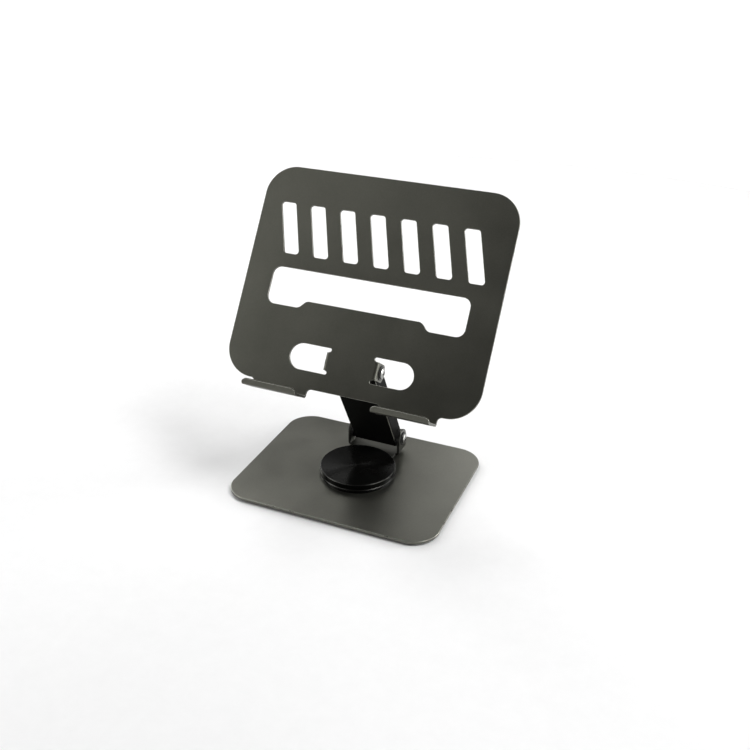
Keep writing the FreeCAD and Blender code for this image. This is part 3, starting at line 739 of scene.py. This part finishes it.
# The ears: a bend backwards, then a flat cheek with the screw's hole.
cheek = [(ear_fold, hinge_up - ear_height / 2, 0), (ear_depth, hinge_up - ear_height / 2, ear_corner),
         (ear_depth, hinge_up + ear_height / 2, ear_corner), (ear_fold, hinge_up + ear_height / 2, 0)]
for side in (-1, 1):
    fold_edge = edges_where(work, lambda place: near(place.x, side * fold_line)
                            and abs(place.y - hinge_up) < ear_height / 2 + hair)
    bent(work, fold_edge, (side * fold_line, 0, -ear_fold), (0, 1, 0), side * 90)
    joined(work, flat_sheet([cheek], [(hinge_back, hinge_up, hinge_hole_radius)]),
           Matrix(((0, 0, 1, side * ear_outside), (0, 1, 0, 0), (-1, 0, 0, 0), (0, 0, 0, 1))))

# The hooks: forwards into a shelf, then up into a lip that leans out.
fold_inside = hook_fold_outside - panel_sheet
shelf_top = panel_sheet - hook_drop
lip_corner_out = hook_reach - panel_sheet * math.tan((math.pi / 2 - hook_lip_flare) / 2)
lip_bend = math.pi / 2 - hook_lip_flare
shelf_end = lip_corner_out - fold_inside * math.tan(lip_bend / 2)
lip_direction = Vector((0, math.cos(hook_lip_flare), math.sin(hook_lip_flare)))
lip_top_inside = hook_lip_top + panel_sheet * math.sin(hook_lip_flare)
free = edges_where(work, lambda place: near(place.y, neck_end))
free = bent(work, free, (0, neck_end, fold_inside), (1, 0, 0), -90)
free = run_on(work, free, (0, 0, shelf_end - fold_inside))
free = bent(work, free, (0, shelf_top + fold_inside, shelf_end), (1, 0, 0), -math.degrees(lip_bend))
lip_run = (lip_top_inside - free[0].verts[0].co.y) / lip_direction.y
free = run_on(work, free, lip_direction * lip_run)
lip_ends = [vert for edge in free for vert in edge.verts]
bmesh.ops.bevel(work, geom=lip_ends, offset=hook_lip_corner, offset_type="OFFSET", affect="VERTICES",
                segments=8, profile=0.5, material=-1, clamp_overlap=False)
finish_sheet(work, (0, 0, 1))
bmesh.ops.transform(work, matrix=Matrix.Translation(hinge_place["panel_tilt"])
                    @ Matrix.Rotation(panel_turn, 4, "X")
                    @ Matrix.Translation((0, -hinge_up, hinge_back)), verts=work.verts)
panel_folding = piece(work, "panel_folding", [panel_coat, panel_edge_highlight], "panel",
                      ["tablet_panel"])
give_thickness(panel_folding, panel_sheet, panel_edge_round)


# Floor, light and camera
# A pale floor that runs far back, eight soft square lights in a ring round the stand, and a white surround
# that only the camera sees. The camera looks down at the front of the stand from its right.
floor_radius = 1.2
floor_steps = 128
camera_place = (0.29318, -0.69556, 0.49880)
camera_turn = math.radians(21.78)
camera_down = math.radians(27.40)
camera_roll = math.radians(1.23)
camera_lens = 46.02
light_distance = 1.8
lights_aim = Vector((0, 0, 0.1))
surround_on_stand = 0.02
surround_in_view = 1.1

floor_work = bmesh.new()
bmesh.ops.create_circle(floor_work, cap_ends=True, segments=floor_steps, radius=floor_radius)
floor_mesh = bpy.data.meshes.new("floor")
floor_work.to_mesh(floor_mesh)
floor_work.free()
floor = bpy.data.objects.new("floor", floor_mesh)
bpy.context.scene.collection.objects.link(floor)
floor_mesh.materials.append(skin("pale_floor", (0.86, 0.86, 0.86), (0.90, 0.90, 0.90), 0.8, 60, 2, 0.0))


def soft_light(name, bearing, rise, size, power):
    """A square area light round the stand: bearing from the right towards the rear, rise above the desk."""
    data = bpy.data.lights.new(name, "AREA")
    data.shape = "SQUARE"
    data.size = size
    data.energy = power
    outwards = (Matrix.Rotation(math.radians(bearing), 3, "Z")
                @ Matrix.Rotation(math.radians(-rise), 3, "Y") @ Vector((1, 0, 0)))
    lamp = bpy.data.objects.new(name, data)
    lamp.location = lights_aim + light_distance * outwards
    lamp.rotation_mode = "QUATERNION"
    lamp.rotation_quaternion = outwards.to_track_quat("Z", "Y")
    bpy.context.scene.collection.objects.link(lamp)


softboxes = (("high_right", 0, 55, 0.8, 20.3), ("low_right", 30, 5, 0.6, 28.3), ("rear", 90, 25, 0.8, 4.8),
             ("rear_left", 120, 25, 0.8, 0.8), ("high_rear_left", 135, 55, 0.8, 9.3),
             ("left", 150, 25, 0.8, 11.8), ("front_left", 210, 25, 0.8, 8.7),
             ("high_front_left", 225, 55, 0.8, 2.3))
for name, bearing, rise, size, power in softboxes:
    soft_light(name + "_softbox", bearing, rise, size, power)

world = bpy.data.worlds.new("studio")
bpy.context.scene.world = world
world.use_nodes = True
studio = world.node_tree
surround = studio.nodes["Background"]
ray = studio.nodes.new("ShaderNodeLightPath")
seen = studio.nodes.new("ShaderNodeMix")
seen.inputs["A"].default_value = surround_on_stand
seen.inputs["B"].default_value = surround_in_view
studio.links.new(ray.outputs["Is Camera Ray"], seen.inputs["Factor"])
studio.links.new(seen.outputs["Result"], surround.inputs["Strength"])
surround.inputs["Color"].default_value = (1.0, 1.0, 1.0, 1.0)

camera_data = bpy.data.cameras.new("camera")
camera_data.lens = camera_lens
camera_data.sensor_width = 36.0
camera_data.clip_start = 0.01
camera = bpy.data.objects.new("camera", camera_data)
bpy.context.scene.collection.objects.link(camera)
camera.rotation_mode = "QUATERNION"
camera.rotation_quaternion = (Matrix.Rotation(camera_turn, 3, "Z")
                              @ Matrix.Rotation(math.pi / 2 - camera_down, 3, "X")
                              @ Matrix.Rotation(camera_roll, 3, "Z")).to_quaternion()
camera.location = camera_place
bpy.context.scene.camera = camera
bpy.context.scene.view_settings.view_transform = "Standard"
